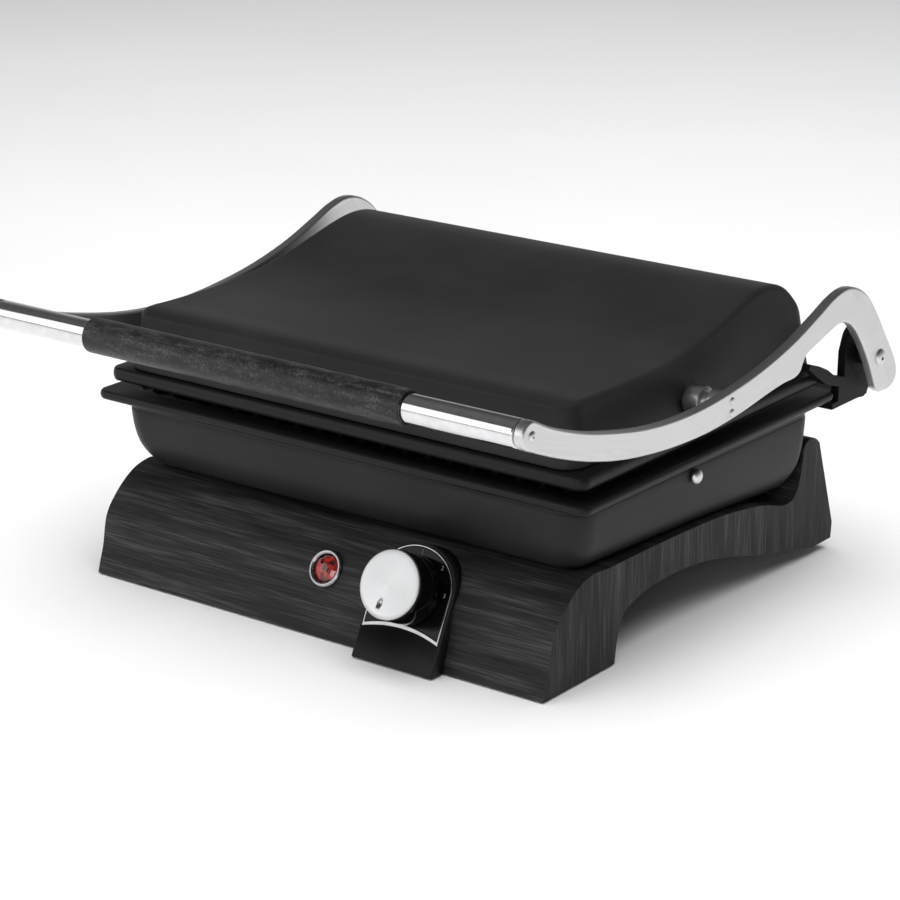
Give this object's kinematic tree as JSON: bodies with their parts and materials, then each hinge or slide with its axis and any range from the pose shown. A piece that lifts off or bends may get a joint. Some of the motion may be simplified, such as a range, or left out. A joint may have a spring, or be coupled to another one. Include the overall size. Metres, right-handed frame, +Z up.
{
  "type": "panini press",
  "caption": "Table-top contact grill: floating ribbed lid on two steel arms over a lower grill housing and an arched base with a thermostat knob.",
  "frame": {"origin": "middle of the whole press at table height, under the middle of its bounding box", "axes": "+Z up, -Y towards the user and the handle, +X to the right as seen by the user, hinge at the back along X"},
  "size_m": [0.3816, 0.388, 0.179],
  "materials": {
    "grained_black_plastic": "fine grained satin",
    "satin_black_paint": "satin powder coat on die casting",
    "gloss_black_plastic": "polished",
    "non_stick_coating": "non-stick coated die casting",
    "brushed_steel": "fine satin",
    "chrome": "polished",
    "turned_aluminium": "spun and satin anodised",
    "heater_steel": "heat-tinted",
    "sheet_aluminium": "mill finish",
    "red_lens": "clear moulded",
    "rubber": "matt",
    "white_nylon": "moulded",
    "dark_plastic": "satin",
    "wood_look_grip": "grained satin"
  },
  "bodies": {
    "base": {"base_housing": "grained_black_plastic", "base_cover": "dark_plastic", "control_panel": "dark_plastic", "hinge_bracket_left": "dark_plastic", "hinge_bracket_right": "dark_plastic", "foot_front_left": "rubber", "foot_front_right": "rubber", "foot_rear_left": "rubber", "foot_rear_right": "rubber", "cord_gland": "rubber", "lower_lead_gland": "rubber", "cover_screw_front_left": "chrome", "cover_screw_front_right": "chrome", "panel_trim": "chrome", "lamp_bezel": "chrome", "side_stud_left": "chrome", "side_stud_right": "chrome", "hinge_screw_left": "chrome", "hinge_screw_right": "chrome", "hinge_nut_left": "chrome", "hinge_nut_right": "chrome", "terminal_block": "white_nylon", "wire_bush": "white_nylon", "thermostat": "white_nylon", "lamp_holder": "white_nylon", "hinge_bush_left": "dark_plastic", "hinge_bush_right": "dark_plastic", "panel_face": "gloss_black_plastic", "lamp_lens": "red_lens", "lower_housing": "satin_black_paint", "lower_plate": "non_stick_coating", "lower_heater": "heater_steel", "lower_reflector": "sheet_aluminium"},
    "arms": {"arm_left": "brushed_steel", "arm_right": "brushed_steel", "handle_rod": "chrome", "handle_grip": "wood_look_grip", "handle_screw_left": "chrome", "handle_screw_right": "chrome", "lid_pivot_left": "chrome", "lid_pivot_right": "chrome", "pivot_rivet_lower_left": "brushed_steel", "pivot_rivet_lower_right": "brushed_steel", "pivot_rivet_upper_left": "brushed_steel", "pivot_rivet_upper_right": "brushed_steel"},
    "lid": {"lid_housing": "satin_black_paint", "upper_plate": "non_stick_coating", "upper_heater": "heater_steel", "upper_reflector": "sheet_aluminium", "upper_lead_gland": "rubber", "lid_bush_left": "white_nylon", "lid_bush_right": "white_nylon"},
    "knob": {"temperature_knob": "gloss_black_plastic", "thermostat_shaft": "brushed_steel", "knob_cap": "turned_aluminium"}
  },
  "joints": [
    {"name": "arm_hinge", "type": "hinge", "parent": "base", "child": "arms", "pos_m": [0, 0.172, 0.1248], "axis": [-1, 0, 0], "range_deg": [0, 100]},
    {"name": "lid_float", "type": "hinge", "parent": "arms", "child": "lid", "pos_m": [0, 0.006, 0.136], "axis": [1, 0, 0], "range_deg": [-2, 2]},
    {"name": "knob_turn", "type": "hinge", "parent": "base", "child": "knob", "pos_m": [0.0675, -0.12662, 0.04073], "axis": [0, 0.8988, -0.4384], "range_deg": [0, 290]}
  ]
}
